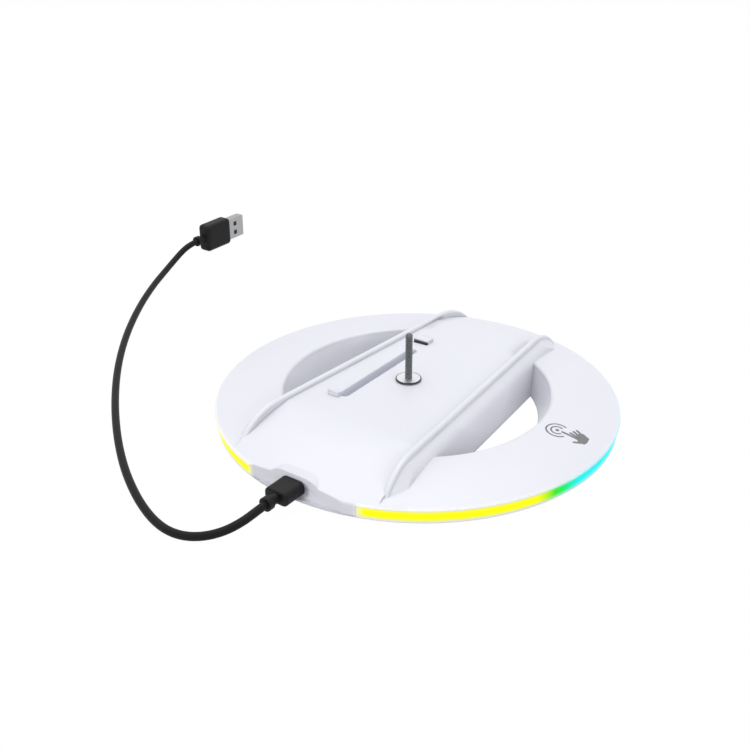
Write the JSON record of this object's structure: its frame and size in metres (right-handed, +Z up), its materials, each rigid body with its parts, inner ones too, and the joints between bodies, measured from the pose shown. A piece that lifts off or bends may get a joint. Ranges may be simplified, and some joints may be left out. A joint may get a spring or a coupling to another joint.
{
  "type": "vertical console stand",
  "caption": "Low round stand with a lit rim, a tapered bridge and a captive screw that holds a game console upright, with a charging lead.",
  "frame": {"origin": "on the floor at the middle of the disc", "axes": "+Z up, -Y towards the charging port, +X to the right seen from the port"},
  "size_m": [0.2934, 0.2437, 0.0391],
  "materials": {
    "shell_white": "satin moulded plastic",
    "cover_white": "fine matt texture",
    "light_band": "translucent, lit from inside",
    "rubber_grey": "matt",
    "screw_steel": "bright turned steel",
    "fastener_steel": "zinc plated",
    "board_green": "solder resist",
    "chip_black": "matt",
    "strip_white": "flexible circuit",
    "lamp_lens": "moulded lens",
    "copper_foil": "bare foil",
    "lead_black": "satin",
    "plug_black": "fine matt texture",
    "plug_metal": "nickel plated sheet",
    "contact_gold": "plated"
  },
  "bodies": {
    "stand": {"top_shell": "shell_white", "bottom_cover": "cover_white", "light_ring": "light_band", "led_strip": "strip_white", "leds": "lamp_lens", "control_board": "board_green", "control_chip": "chip_black", "board_screws": "fastener_steel", "case_screws": "fastener_steel", "usb_c_receptacle": "plug_metal", "usb_c_tongue": "plug_black", "touch_pad": "copper_foil", "touch_lead": "lead_black", "led_lead": "lead_black", "rubber_foot_1": "rubber_grey", "rubber_foot_2": "rubber_grey", "rubber_foot_3": "rubber_grey", "rubber_foot_4": "rubber_grey", "rubber_foot_5": "rubber_grey", "rubber_foot_6": "rubber_grey", "usb_c_plug_body": "plug_black", "usb_c_plug_shell": "plug_metal", "usb_cable": "lead_black", "usb_a_plug_body": "plug_black", "usb_a_shell": "plug_metal", "usb_a_tongue": "plug_black", "usb_a_contacts": "contact_gold"},
    "clamp": {"clamp_screw": "screw_steel", "screw_collar": "screw_steel"}
  },
  "joints": [
    {"name": "screw_turn", "type": "hinge", "parent": "stand", "child": "clamp", "pos_m": [0, -0.0064, 0.02], "axis": [0, 0, 1], "continuous": true}
  ]
}
